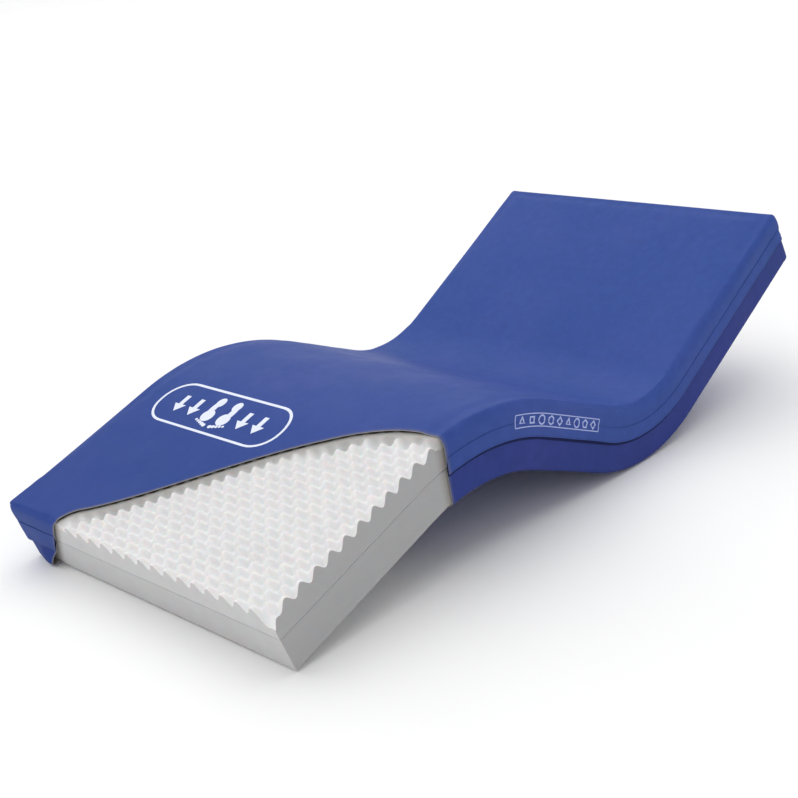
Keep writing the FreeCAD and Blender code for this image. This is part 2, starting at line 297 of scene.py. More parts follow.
def new_object(name, points, faces, materials=(), numbers=None, normals=None, flat=None):
    """A smooth mesh object; numbers are the faces' materials, normals one row for each corner."""
    mesh = bpy.data.meshes.new(name)
    mesh.vertices.add(len(points))
    mesh.vertices.foreach_set("co", np.asarray(points, np.float32).ravel())
    mesh.loops.add(len(faces.corners))
    mesh.loops.foreach_set("vertex_index", faces.corners.astype(np.int32))
    mesh.polygons.add(len(faces.counts))
    mesh.polygons.foreach_set("loop_start", faces.starts.astype(np.int32))
    mesh.polygons.foreach_set("use_smooth", np.ones(len(faces.counts), bool))
    for material in materials:
        mesh.materials.append(material)
    if numbers is not None:
        mesh.polygons.foreach_set("material_index", np.asarray(numbers, np.int32))
    if flat is not None:
        keep(mesh, "flat", flat)
    mesh.update(calc_edges=True)
    if normals is not None:
        mesh.normals_split_custom_set(normals)
    obj = bpy.data.objects.new(name, mesh)
    bpy.context.scene.collection.objects.link(obj)
    return obj


def keep(mesh, name, values):
    """Stores a number or a vector for each vertex, which the materials read."""
    kind, key = ("FLOAT_VECTOR", "vector") if np.ndim(values) == 2 else ("FLOAT", "value")
    layer = mesh.attributes.new(name, kind, "POINT")
    layer.data.foreach_set(key, np.asarray(values, np.float32).ravel())


def read(items, key, width=3, kind=np.float32):
    """One value of each item of a Blender collection, in rows of that width."""
    found = np.zeros(len(items) * width, kind)
    items.foreach_get(key, found)
    return found.reshape(-1, width).astype(float if kind is np.float32 else int)


def mesh_faces(mesh):
    """The faces of a Blender mesh."""
    corners = read(mesh.loops, "vertex_index", 1, np.int32).ravel()
    starts = read(mesh.polygons, "loop_start", 1, np.int32).ravel()
    return Faces(corners, np.diff(np.append(starts, len(corners))))


def thrown_away(obj):
    """Removes an object together with its mesh."""
    mesh = obj.data
    bpy.data.objects.remove(obj)
    bpy.data.meshes.remove(mesh)


def evaluated(obj):
    """The object's mesh with its modifiers applied; the object itself is removed."""
    graph = bpy.context.evaluated_depsgraph_get()
    mesh = bpy.data.meshes.new_from_object(obj.evaluated_get(graph))
    thrown_away(obj)
    return mesh


def eased(value, start, reach):
    """From 0 at start to 1 a reach further on, or back for a reach below 0, with even ends."""
    share = np.clip((value - start) / reach, 0, 1)
    return share * share * (3 - 2 * share)


def unit(vectors):
    """The same directions at length 1."""
    return vectors / np.maximum(np.linalg.norm(vectors, axis=-1, keepdims=True), 1e-12)


def facet_areas(points, faces):
    """The area of each face, as a vector along its normal."""
    origin = np.repeat(points[faces.corners[faces.starts]], faces.counts, axis=0)
    cross = np.cross(points[faces.corners] - origin, points[faces.following()] - origin)
    return np.add.reduceat(cross, faces.starts) / 2


def smooth_normals(points, faces):
    """Normals of a welded surface, one row for each point."""
    obj = new_object("surface", points, faces)
    found = read(obj.data.vertex_normals, "vector")
    thrown_away(obj)
    return found


def faceted(name, place, faces, material, flat):
    """A mesh object with flat faces."""
    normals = np.repeat(unit(facet_areas(place, faces)), faces.counts, 0)
    return new_object(name, place, faces, [material], normals=normals, flat=flat)


def merged(parts):
    """One set of points and faces from several."""
    points, faces = zip(*parts)
    shifts = np.cumsum([0] + [len(each) for each in points])
    corners = np.concatenate([each.corners + shift for each, shift in zip(faces, shifts)])
    return np.vstack(points), Faces(corners, np.concatenate([each.counts for each in faces]))


class Skin:
    """A surface; each row of its data is a point's place, normal and mattress coordinates."""

    def __init__(self, data, faces):
        self.data, self.faces = np.hstack(data), faces

    @property
    def place(self):
        return self.data[:, 0:3]

    @property
    def normal(self):
        return unit(self.data[:, 3:6])

    @property
    def flat(self):
        return self.data[:, 6:9]

    def part(self, faces, rows=None):
        """The given faces, with only the points that they use."""
        rows = self.data if rows is None else rows
        used, corners = np.unique(faces.corners, return_inverse=True)
        return Skin([rows[used]], Faces(corners, faces.counts))

    def where(self, test):
        """The faces whose middle, in mattress coordinates, passes the test."""
        return self.part(self.faces.chosen(test(self.faces.middles(self.flat))))

    def lengths(self):
        """The part in each length of the mattress, with its number and its name."""
        for number, (first, last) in enumerate(zip(EDGES, EDGES[1:])):
            part = self.where(lambda middle: (middle[:, 0] > first) & (middle[:, 0] < last))
            yield number, SEGMENTS[number], part

    def clipped(self, depth):
        """The part where depth is above zero, with new points along the cut."""
        inside = (depth > 0)[self.faces.corners].astype(int)
        share = np.add.reduceat(inside, self.faces.starts) / self.faces.counts
        cut = self.faces.chosen((share > 0) & (share < 1))
        rows, made, kept = list(self.data), {}, []

        def crossing(a, b):
            a, b = min(a, b), max(a, b)
            if (a, b) not in made:
                along = depth[a] / (depth[a] - depth[b])
                made[a, b] = len(rows)
                rows.append(self.data[a] * (1 - along) + self.data[b] * along)
            return made[a, b]

        for start, count in zip(cut.starts, cut.counts):
            face, ring = cut.corners[start:start + count], []
            for a, b in zip(face, np.roll(face, -1)):
                if depth[a] > 0:
                    ring.append(a)
                if (depth[a] > 0) != (depth[b] > 0):
                    ring.append(crossing(a, b))
            kept.append(ring)
        faces = self.faces.chosen(share == 1)
        if kept:
            faces = faces + Faces.of(kept)
        return self.part(faces, np.array(rows))

    def flat_area(self):
        """Area in mattress coordinates, which is that of the cloth as it was cut."""
        return float(np.linalg.norm(facet_areas(self.flat, self.faces), axis=1).sum())

    def shell(self, name, thick, materials):
        """A closed sheet of cloth: the skin, its inside and its rims, shaded as one with its neighbours."""
        count, place, normal = len(self.data), self.place, self.normal
        points = np.vstack([place, place - normal * thick])
        rim = self.faces.rim()
        sides = Faces.of(np.stack([rim[:, 1], rim[:, 0], rim[:, 0] + count, rim[:, 1] + count], -1))
        inner = self.faces.flipped().shifted(count)
        faces = self.faces + inner + sides
        across = points[rim[:, 0]] - points[rim[:, 1]]
        side_normals = unit(np.cross(across, -normal[rim[:, 0]]))
        normals = [normal[self.faces.corners], -normal[inner.corners - count], np.repeat(side_normals, 4, 0)]
        numbers = np.arange(len(faces.counts)) >= len(self.faces.counts)
        flat = np.vstack([self.flat, self.flat])
        return new_object(name, points, faces, materials, numbers, np.vstack(normals), flat)

    def solid(self, name, materials):
        """The skin as it is, with a flat cap on each open end."""
        after = {int(b): int(a) for a, b in self.faces.rim()}
        caps = []
        while after:
            ring = [next(iter(after))]
            while ring[-1] in after:
                ring.append(after.pop(ring[-1]))
            caps.append(ring[:-1])
        normals = [self.normal[self.faces.corners]]
        faces = self.faces
        for ring in caps:
            origin = self.place[ring[0]]
            spokes = self.place[ring] - origin
            out = unit(np.cross(spokes[1:-1], spokes[2:]).sum(0))
            normals.append(np.tile(out, (len(ring), 1)))
        if caps:
            faces = faces + Faces.of(caps)
        return new_object(name, self.place, faces, materials, None, np.vstack(normals), self.flat)


# ---------------------------------------------------------------- materials


class Material:
    """A node material, with short calls for the nodes that these materials share."""

    def __init__(self, name, **values):
        self.material = bpy.data.materials.new(name)
        self.material.use_nodes = True
        self.tree = self.material.node_tree
        self.shader = self.tree.nodes["Principled BSDF"]
        for key, value in values.items():
            self.shader.inputs[key.replace("_", " ").title().replace("Ior", "IOR")].default_value = value

    def feed(self, socket, value):
        """Links another node's output to the socket, or sets its value."""
        if isinstance(value, bpy.types.NodeSocket):
            self.tree.links.new(value, socket)
        else:
            socket.default_value = value

    def node(self, kind, out=0, inputs=None, **settings):
        """Adds a node and gives one of its outputs."""
        made = self.tree.nodes.new(f"ShaderNode{kind}")
        for key, value in settings.items():
            setattr(made, key, value)
        for key, value in (inputs or {}).items():
            self.feed(made.inputs[key], value)
        return made.outputs[out]

    def coordinates(self):
        """The mattress coordinates that each mesh carries."""
        return self.node("Attribute", "Vector", attribute_name="flat")

    def noise(self, vector, scale, detail=2.0, roughness=0.5):
        """Even noise between 0 and 1."""
        inputs = {"Vector": vector, "Scale": scale, "Detail": detail, "Roughness": roughness}
        return self.node("TexNoise", "Fac", inputs)

    def ramp(self, value, low, high, start=0.0, end=1.0, change="LINEAR"):
        """A change from start to end as the value goes from low to high."""
        inputs = {"Value": value, "From Min": low, "From Max": high, "To Min": start, "To Max": end}
        return self.node("MapRange", "Result", inputs, interpolation_type=change)

    def mix(self, share, first, second, blend="MIX"):
        """A colour between two, by the second one's share."""
        made = self.tree.nodes.new("ShaderNodeMix")
        made.data_type, made.blend_type = "RGBA", blend
        sockets = {socket.identifier: socket for socket in made.inputs}
        for key, value in (("Factor_Float", share), ("A_Color", first), ("B_Color", second)):
            self.feed(sockets[key], value)
        return next(socket for socket in made.outputs if socket.identifier == "Result_Color")

    def maths(self, operation, first, second=0.0):
        """One sum on two values."""
        return self.node("Math", 0, {0: first, 1: second}, operation=operation)

    def spread(self, *values):
        """The same with an even start and end."""
        return self.ramp(*values, change="SMOOTHSTEP")

    def cut(self):
        """Distance from the edge of the cut corner, above 0 on the cover's side."""
        return self.node("Attribute", "Fac", attribute_name="cut")

    def along(self, flat, axis):
        """One of the three mattress coordinates."""
        return self.node("SeparateXYZ", axis, {0: flat})

    def painted_side_shade(self, flat):
        """Share of painted shade on the foam's sides: more on the long sides than on the foot end."""
        aside = self.maths("ABSOLUTE", self.along(flat, "Y"))
        side = self.spread(aside, FOAM_HALF_WIDTH - 0.0012, FOAM_HALF_WIDTH - 0.0004, 0.0, 0.92)
        foot = self.spread(self.along(flat, "X"), FOAM_END + 0.0004, FOAM_END + 0.0012, 0.55, 0.0)
        return self.maths("MAXIMUM", side, foot)

    def bump(self, height, distance, strength=1.0, under=None):
        """A normal that follows a height, over the one under it."""
        inputs = {"Height": height, "Distance": distance, "Strength": strength}
        if under is not None:
            inputs["Normal"] = under
        return self.node("Bump", "Normal", inputs)

    def set(self, **sockets):
        """Links values to the shader, and gives the finished material."""
        for key, value in sockets.items():
            self.tree.links.new(value, self.shader.inputs[key.replace("_", " ")])
        return self.material


# How long one wave of the wave texture is at a scale of 1.
WAVE_LONG = 0.314


def weave(made, flat, pitch):
    """Height of a plain weave with that pitch, in metres, from the mattress coordinates."""
    inputs = {"Vector": flat, "Scale": WAVE_LONG / pitch}
    across, along, up = (made.node("TexWave", "Fac", inputs, bands_direction=axis) for axis in "XYZ")
    return made.maths("ADD", made.maths("MULTIPLY", across, along), made.maths("MULTIPLY", along, up))


def coated_fabric(name, colours, roughness, pitch):
    """Satin polyurethane-coated knit: a fine weave under a smooth coat, with painted shade towards the foot
    end.
    """
    made = Material(name, specular_ior_level=0.07)
    flat = made.coordinates()
    slow = made.ramp(made.noise(flat, 3.2, 2.0, 0.55), 0.35, 0.68)
    mottle = made.ramp(made.noise(flat, 38.0, 3.0, 0.6), 0.3, 0.7, 0.93, 1.06)
    shade = made.mix(slow, *colours)
    grey = made.node("CombineColor", "Color", {"Red": mottle, "Green": mottle, "Blue": mottle})
    shade = made.mix(1.0, shade, grey, "MULTIPLY")
    # Painted shade: the blue darkens over the last 0.8 m towards the foot end.
    foot_shade_share = made.spread(made.along(flat, "X"), 0.15, 0.80, 0.6, 0.0)
    shade = made.mix(foot_shade_share, shade, PAINTED_FOOT_SHADE)
    # Greyer within 8 mm of the cut edge.
    by_cut = made.spread(made.cut(), 0.0, 0.008, 0.6, 0.0)
    shade = made.mix(by_cut, shade, CUT_EDGE_GREY)
    rough = made.ramp(made.noise(flat, 11.0, 3.0, 0.6), 0.3, 0.7, roughness - 0.05, roughness + 0.07)
    cloth = made.bump(weave(made, flat, pitch), 0.00012, 0.35)
    soft = made.bump(made.noise(flat, 16.0, 3.0, 0.5), 0.0006, 1.0, cloth)
    return made.set(Base_Color=shade, Roughness=rough, Normal=soft)


def woven(name, colours, mottle, pitch, rise, strength, **values):
    """Uneven colour over a fine weave: bare knit, tape, thread and printed ink."""
    made = Material(name, **values)
    flat = made.coordinates()
    shade = made.mix(made.noise(flat, *mottle), *colours)
    return made.set(Base_Color=shade, Normal=made.bump(weave(made, flat, pitch), rise, strength))


def foam(name, colours, pore):
    """Open-cell foam: fine pores, a soft surface and a faint mottle, with painted shade in the pores and on
    the sides, and a painted shadow just under the cloth.
    """
    made = Material(name, roughness=0.92, subsurface_weight=0.25, subsurface_scale=0.01)
    flat = made.coordinates()
    mottle = made.ramp(made.noise(flat, 24.0, 4.0, 0.6), 0.3, 0.7)
    cells = made.node("TexVoronoi", "Distance", {"Vector": flat, "Scale": pore})
    pores = made.ramp(cells, 0.1, 0.6)
    shade = made.mix(mottle, *colours)
    # Painted shade in the pores, where the bump dips.
    pore_shade = made.maths("MULTIPLY", made.maths("SUBTRACT", 1.0, pores), 0.10)
    shade = made.mix(pore_shade, shade, PORE_PAINTED_SHADE)
    # Painted shade on the sides, darker on the long sides than on the foot end.
    shade = made.mix(made.painted_side_shade(flat), shade, SIDE_PAINTED_SHADE)
    under_cloth = made.spread(made.cut(), -0.020, -0.001, 0.0, 0.75)
    shade = made.mix(under_cloth, shade, SHADED)
    normal = made.bump(cells, 0.0009, 0.5)
    normal = made.bump(made.noise(flat, 90.0, 4.0, 0.65), 0.0012, 0.6, normal)
    return made.set(Base_Color=shade, Normal=normal)


def moulded(name, colours, roughness):
    """Moulded plastic with a faint orange-peel surface."""
    made = Material(name, roughness=roughness)
    flat = made.coordinates()
    shade = made.mix(made.noise(flat, 60.0, 3.0), *colours)
    return made.set(Base_Color=shade, Normal=made.bump(made.noise(flat, 900.0, 2.0), 0.00005, 0.5))


def painted_metal(name, colours):
    """Enamelled zinc, a little worn and scuffed."""
    made = Material(name, metallic=0.55, coat_weight=0.3)
    flat = made.coordinates()
    drawn = made.node("Mapping", "Vector", {"Vector": flat, "Scale": (600.0, 2200.0, 900.0)})
    scuffs = made.ramp(made.noise(drawn, 1.0, 5.0, 0.7), 0.58, 0.75)
    shade = made.mix(scuffs, *colours)
    rough = made.ramp(made.noise(flat, 700.0, 3.0), 0.3, 0.7, 0.28, 0.48)
    return made.set(Base_Color=shade, Roughness=rough, Normal=made.bump(scuffs, 0.00004, 0.6))


# The coated fabric turns to these: painted shade towards the foot end, and greyer by the cut. The foam has
# painted shade in its pores and on its cut faces, and a painted shadow just under the cloth.
PAINTED_FOOT_SHADE, CUT_EDGE_GREY = (0.017, 0.048, 0.222, 1), (0.13, 0.14, 0.22, 1)
PORE_PAINTED_SHADE, SIDE_PAINTED_SHADE, SHADED = (0.45, 0.45, 0.45, 1), (0.36, 0.36, 0.365, 1), (0.26, 0.245, 0.225, 1)
ROYAL = (0.036, 0.078, 0.300, 1), (0.047, 0.082, 0.316, 1)
DARKER = (0.027, 0.046, 0.220, 1), (0.036, 0.050, 0.236, 1)
BARE_KNIT = (0.30, 0.28, 0.27, 1), (0.46, 0.43, 0.40, 1)
NAVY_TAPE = (0.008, 0.012, 0.060, 1), (0.014, 0.020, 0.085, 1)
NAVY_THREAD = (0.020, 0.034, 0.150, 1), (0.034, 0.050, 0.200, 1)
NAVY_PLASTIC = (0.018, 0.026, 0.12, 1), (0.026, 0.036, 0.15, 1)
NAVY_PAINT = (0.020, 0.030, 0.110, 1), (0.16, 0.17, 0.21, 1)
WHITE = (0.80, 0.84, 0.95, 1), (0.70, 0.76, 0.92, 1)
PALE_BLUE = (0.42, 0.48, 0.80, 1), (0.34, 0.40, 0.72, 1)
FOAM_WHITE = (0.87, 0.87, 0.87, 1), (0.81, 0.81, 0.815, 1)
FOAM_PLAIN = (0.77, 0.77, 0.77, 1), (0.71, 0.71, 0.715, 1)

YARN = {"roughness": 0.85, "specular_ior_level": 0.1}
BLUE_TOP = coated_fabric("blue_top_cover", ROYAL, 0.50, 0.0011)
BLUE_BASE = coated_fabric("blue_base_cover", DARKER, 0.55, 0.0015)
BLUE_FLAP = coated_fabric("blue_flap", ROYAL, 0.50, 0.0011)
BACKING = woven("knit_backing", BARE_KNIT, (140.0,), 0.0014, 0.0002, 0.6, roughness=0.9, sheen_weight=0.2)
TAPE = woven("zip_tape", NAVY_TAPE, (260.0, 3.0), 0.0009, 0.00025, 0.8, **YARN)
THREAD = woven("sewing_thread", NAVY_THREAD, (260.0, 3.0), 0.0009, 0.00025, 0.8, **YARN)
TEETH = moulded("zip_teeth", NAVY_PLASTIC, 0.38)
PAINTED_METAL = painted_metal("enamelled_zinc", NAVY_PAINT)
WHITE_INK = woven("white_ink", WHITE, (120.0, 4.0, 0.7), 0.0011, 0.0001, 0.4, roughness=0.6)
PALE_INK = woven("pale_ink", PALE_BLUE, (120.0, 4.0, 0.7), 0.0011, 0.0001, 0.4, roughness=0.6)
FOAM_TOP = foam("white_shaped_foam", FOAM_WHITE, 420.0)
FOAM_BASE = foam("white_base_foam", FOAM_PLAIN, 360.0)


# ---------------------------------------------------------------- cover

TOP_EDGE, END_EDGE, BASE_EDGE, PLAN_CORNER = 0.027, 0.010, 0.008, 0.011
COVER_STEP = 0.0125
CLOTH_FRAMES, PRESSURE = 18, 3.0
LEAST_AREA = 0.31
# How far the walls are cut too full, how much slack the cut corner has, and how far the cloth may slide.
WALL_FULL, SLACK, SLIDE = 0.0032, 0.018, 0.003
# Distance to the outer cloth's resting place: behind the flap, and elsewhere; and the lowest place.
TIGHT, LOOSE, INWARD, FLOOR = 0.0002, 0.0028, 0.0006, 0.0001
# Heights of the grid lines on the cover's walls, and shares of the top edge's radius for those above.
WALL_LINES = (0.016, 0.026, 0.037, 0.050, 0.064, BASE_WALL_HIGH, TOP_WALL_LOW, 0.099, FLAP_SEAM, 0.118)
TOP_LINES = (1, 0.75, 0.5, 0.3, 0.12, 0)

# The edge of the corner that is cut away, as (distance across, station), and where it meets the foot.
WINDOW_EDGE = [
    (-0.440, 0.512), (-0.334, 0.497), (-0.249, 0.462), (-0.161, 0.400),
    (-0.076, 0.326), (0.087, 0.166), (0.175, 0.089), (0.223, 0.054),
]
WINDOW_FOOT = 0.250
WINDOW_CURVE = np.polyfit(*zip(*WINDOW_EDGE), 4)
# How much of a distance along the mattress lies square to the edge, and how far the edge leans for
# each metre down: across the foot end, and along the near side.
EDGE_SLANT, WINDOW_LEAN, NEAR_LEAN, NEAR_SIDE = 0.72, 0.68, 0.1, -0.40
# The edge by the foot end rounds into the long edge over this distance, and leans near the end only.
WINDOW_ROUND, LEAN_FIRST, LEAN_REACH = 0.035, 0.02, 0.06
# The foam keeps its sawn edges up to the first depth, and is fitted to the cover a little after it.
SAWN, FITTED = -0.020, 0.014


def window_depth(flat):
    """How far a point of the cover lies inside the edge of the cut, in metres; below 0 it is cut away."""
    station, across, height = np.moveaxis(flat, -1, 0)
    drop = DEPTH - height
    at_foot = np.clip(1 - (station - LEAN_FIRST) / LEAN_REACH, 0, 1)
    across = across - WINDOW_LEAN * drop * at_foot
    lean = NEAR_LEAN * drop * (across < NEAR_SIDE)
    beyond_edge = (station + lean - np.polyval(WINDOW_CURVE, across)) * EDGE_SLANT
    beyond_foot = across - WINDOW_FOOT
    share = np.clip(0.5 + 0.5 * (beyond_edge - beyond_foot) / WINDOW_ROUND, 0, 1)
    both = beyond_foot * (1 - share) + beyond_edge * share
    return both + WINDOW_ROUND * share * (1 - share)


def top_radius(station):
    """Radius of the top edge: tight by both ends, where the foam's corners fill the cover."""
    near_end = np.minimum(station, LENGTH - station)
    return END_EDGE + (TOP_EDGE - END_EDGE) * eased(near_end, 0.03, 0.30)


def keep_cut(obj):
    """Stores each vertex's distance from the cut edge, which the materials read."""
    keep(obj.data, "cut", window_depth(read(obj.data.attributes["flat"].data, "vector")))


def swollen(points, faces):
    """Where cloth pressure moves the points of a closed shape."""
    obj = new_object("cloth", points, faces)
    modifier = obj.modifiers.new("Cloth", "CLOTH")
    cloth = modifier.settings
    cloth.quality = 4
    cloth.mass = 0.3
    cloth.tension_stiffness = cloth.compression_stiffness = 12
    cloth.shear_stiffness = 6
    cloth.bending_stiffness = 0.6
    cloth.shrink_min = -0.012
    cloth.use_pressure = True
    cloth.uniform_pressure_force = PRESSURE
    cloth.effector_weights.gravity = 0
    modifier.collision_settings.use_collision = False
    modifier.point_cache.frame_start, modifier.point_cache.frame_end = 1, CLOTH_FRAMES
    for step in range(1, CLOTH_FRAMES + 1):
        bpy.context.scene.frame_set(step)
    mesh = evaluated(obj)
    moved = read(mesh.vertices, "co")
    bpy.data.meshes.remove(mesh)
    bpy.context.scene.frame_set(1)
    return moved


def tailored(flat):
    """The cut of the cover: full walls above the flap's seam, and a slack corner beside the cut."""
    station, across, height = flat.T
    middle = LENGTH / 2
    full = WALL_FULL * eased(height, 0.094, 0.016) * eased(height, DEPTH + 0.004, -0.03)
    station = middle + (station - middle) * (1 + full / middle)
    across = across * (1 + full / (WIDTH / 2))
    cut = WINDOW_FOOT + WINDOW_LEAN * DEPTH
    slack = SLACK * eased(across, WIDTH / 2, cut - WIDTH / 2) * (across > 0)
    slack = slack * eased(height, 0.052, -0.04) * eased(station, WALL_INSET + 0.05, -0.05)
    along, up = math.cos(CALF_INCLINE), math.sin(CALF_INCLINE)
    return stacked(station - slack * along, across, height + slack * up)


def cover_room(flat):
    """How far the cover may stand out from the foam: nothing behind the flap, more above and below."""
    height = flat[:, 2]
    return TIGHT + LOOSE * np.maximum(eased(height, 0.062, -0.03), eased(height, FLAP_SEAM, 0.03))


def relaxed(flat, place, faces):
    """The cover's points, moved as the cloth moves but no further than there is room, and not below 0."""
    normal = smooth_normals(place, faces)
    move = swollen(place, faces) - place
    out = (move * normal).sum(1, keepdims=True)
    room = cover_room(flat)[:, None]
    kept = np.where(out > 0, room * np.tanh(out / room), INWARD * np.tanh(out / INWARD))
    slide = move - out * normal
    far = np.linalg.norm(slide, axis=1, keepdims=True)
    slide = slide * np.minimum(1, SLIDE / np.maximum(far, 1e-9)) * (room > 5 * TIGHT)
    found = place + kept * normal + slide
    found[:, 2] = np.maximum(found[:, 2], FLOOR)
    return found


def make_cover():
    """The whole cover as one skin, swollen by cloth pressure and smoothed."""
    inset = WALL_INSET
    along = lines(inset, LENGTH - inset, COVER_STEP, PARTINGS, PLAN_CORNER)
    across = lines(inset - WIDTH / 2, WIDTH / 2 - inset, COVER_STEP, (), PLAN_CORNER)
    up = [0.0] + [BASE_EDGE * share for share in ROUND_LINES] + list(WALL_LINES)
    up += [DEPTH - TOP_EDGE * share for share in TOP_LINES]
    flat, faces = closed_box(along, across, np.array(up))
    faces = Faces.of(faces)
    low, high = (inset, inset - WIDTH / 2, 0), (LENGTH - inset, WIDTH / 2 - inset, DEPTH)
    flat = rounded(flat, low, high, PLAN_CORNER, top_radius(flat[:, 0]), BASE_EDGE)
    flat = tailored(flat)
    place = LINE.bend(flat)
    place = relaxed(flat, place, faces)
    obj = new_object("whole_cover", place, faces, flat=flat)
    smoother = obj.modifiers.new("Smoother", "SUBSURF")
    smoother.levels = smoother.render_levels = 1
    mesh = evaluated(obj)
    place, normal = read(mesh.vertices, "co"), read(mesh.vertex_normals, "vector")
    return Skin([place, normal, read(mesh.attributes["flat"].data, "vector")], mesh_faces(mesh))


def length_of(number):
    """How long one length of the mattress is."""
    return min(EDGES[number + 1], LENGTH) - max(EDGES[number], 0)


def area_within(area, size):
    """The area that the cloth was cut to, which is at most that of its rectangle."""
    whole = size[0] * size[1]
    return float(np.clip(area, LEAST_AREA * whole, whole))


def add_cover(whole):
    """Both halves of the cover, each in one piece for every hinge."""
    halves = {
        "cover_top": (lambda middle: middle[:, 2] > TOP_WALL_LOW, [BLUE_TOP, BACKING]),
        "cover_base": (lambda middle: middle[:, 2] < BASE_WALL_HIGH, [BLUE_BASE, BACKING]),
    }
    for layer, (test, materials) in halves.items():
        half = whole.where(test)
        half = half.clipped(window_depth(half.flat))
        for number, segment, piece in half.lengths():
            obj = piece.shell(f"skin_{layer}_{segment}", CLOTH, materials)
            keep_cut(obj)
            attach(obj, number, layer)
            wall = DEPTH - TOP_WALL_LOW if layer == "cover_top" else BASE_WALL_HIGH
            size = (WIDTH + 2 * wall, length_of(number) + wall * (number in (0, len(SEGMENTS) - 1)))
            area_within(piece.flat_area(), size)


# ---------------------------------------------------------------- foam

PEAK_PITCH, VALLEY = 0.0425, 0.128
# How far the first rows of peaks lie inside the foot end and inside the near side.
FIRST_PEAK, FIRST_ROW = 0.004, 0.0045
# The top layer dips at its near corner by the foot end: how deep, and how far along and across.
DIP_DEEP, DIP_LONG, DIP_WIDE = 0.040, 0.012, 0.026
GROOVE, BOTTOM_CHAMFER, FOAM_PLAN = 0.0016, 0.003, 0.009
TINY = 0.0001


def shaped_top(station, across):
    """Height of the staggered peaks. The foot end and the near side are cut close to a row of them."""
    turn = 2 * math.pi / PEAK_PITCH
    along, inward = station - FOAM_END, across + FOAM_HALF_WIDTH
    wave = np.cos(turn * (along - FIRST_PEAK)) * np.cos(turn * (inward - FIRST_ROW))
    dip = DIP_DEEP * np.exp(-((along / DIP_LONG) ** 2) - (inward / DIP_WIDE) ** 2)
    edge = eased(np.abs(window_depth(stacked(station, across, DEPTH))), 0.0143, -0.011)
    return VALLEY - dip + (FOAM_HIGH - VALLEY) * ((0.5 + 0.5 * wave) * (1 - edge) + 0.97 * edge)


def fitted(flat):
    """Foam under the cover, rounded to fit inside it; where the cover is cut away it keeps its cut edges."""
    low = (FOAM_END, -FOAM_HALF_WIDTH, FOAM_LOW)
    high = (LENGTH - FOAM_END, FOAM_HALF_WIDTH, FOAM_HIGH)
    inside = rounded(flat, low, high, FOAM_PLAN, top_radius(flat[:, 0]) - 0.001, 0.007)
    share = np.clip((window_depth(flat) - SAWN) / FITTED, 0, 1)[:, None]
    return flat * (1 - share) + inside * share


def foam_sheet(flat, normal, flip=False):
    """One face of a foam block, from a grid of mattress coordinates and one of normals."""
    grid = np.arange(flat.shape[0] * flat.shape[1]).reshape(flat.shape[:2])
    rows = fitted(flat.reshape(-1, 3))
    normals = np.broadcast_to(normal, flat.shape).reshape(-1, 3)
    return Skin([LINE.bend(rows), normals, rows], Faces.of(quads(grid, flip)))


def top_normals(station, width, top):
    """Normals of the bent top, from places just beside each point."""
    beside = []
    for a, b in ((TINY, 0), (-TINY, 0), (0, TINY), (0, -TINY)):
        beside.append(LINE.bend(stacked(station + a, width + b, top(station + a, width + b))))
    return unit(np.cross(beside[0] - beside[1], beside[2] - beside[3]))


def foam_block(along, across, low, top, side):
    """The faces of one closed length of foam; side is its outline in (inset, height), None for the top."""
    ends = (FOAM_END, LENGTH - FOAM_END)

    def walls(station, width, inset, height):
        """Places on the block's side, that far in from its full size."""
        station = np.clip(station, ends[0] + inset, ends[1] - inset)
        width = np.clip(width, -FOAM_HALF_WIDTH + inset, FOAM_HALF_WIDTH - inset)
        high = top(station, width)
        return stacked(station, width, high if height is None else np.minimum(height, high))

    station, width = np.meshgrid(along, across, indexing="ij")
    flat = stacked(station, width, top(station, width))
    sheets = [foam_sheet(flat, top_normals(station, width, top))]
    station, width = np.meshgrid(along, across[[0, -1]], indexing="ij")
    under = walls(station, width, side[0][0], low)
    sheets.append(foam_sheet(under, -LINE.upward(under[..., 0]), True))
    for way, edge in ((-1, across[0]), (1, across[-1])):
        wall = np.stack([walls(along, edge, *level) for level in side], 1)
        sheets.append(foam_sheet(wall, np.array([0.0, way, 0.0]), way > 0))
    for way, edge in ((-1, along[0]), (1, along[-1])):
        levels = side if edge in ends else [(0, low), (0, None)]
        wall = np.stack([walls(edge, across, *level) for level in levels], 1)
        sheets.append(foam_sheet(wall, way * LINE.forward(wall[..., 0]), way < 0))
    return sheets


def joined(skins):
    """Several skins as one."""
    data, faces = merged([(skin.data, skin.faces) for skin in skins])
    return Skin([data], faces)


def add_foam():
    """The plain base layer and the shaped top layer."""
    base_side = [(BOTTOM_CHAMFER, FOAM_LOW), (0, FOAM_LOW + BOTTOM_CHAMFER), (0, 0.010), (0, 0.014)]
    base_side += [(0, 0.04), (0, FOAM_SPLIT - GROOVE), (GROOVE, FOAM_SPLIT)]
    top_side = [(GROOVE, FOAM_SPLIT), (0, FOAM_SPLIT + GROOVE), (0, 0.110), (0, 0.125), (0, None)]
    layers = (
        ("foam_base", FOAM_BASE, 0.02, FOAM_LOW, lambda station, across: FOAM_SPLIT, base_side),
        ("foam_top", FOAM_TOP, PEAK_PITCH / 11, FOAM_SPLIT, shaped_top, top_side),
    )
    for layer, material, step, low, top, side in layers:
        across = lines(-FOAM_HALF_WIDTH, FOAM_HALF_WIDTH, step, (), FOAM_PLAN)
        for number, segment in enumerate(SEGMENTS):
            first = max(EDGES[number], FOAM_END)
            last = min(EDGES[number + 1], LENGTH - FOAM_END)
            block = joined(foam_block(lines(first, last, step), across, low, top, side))
            obj = new_object(
                f"{layer}_block_{segment}", block.place, block.faces, [material],
                normals=block.normal[block.faces.corners], flat=block.flat,
            )
            keep_cut(obj)
            attach(obj, number, layer)


# ---------------------------------------------------------------- flap and zip

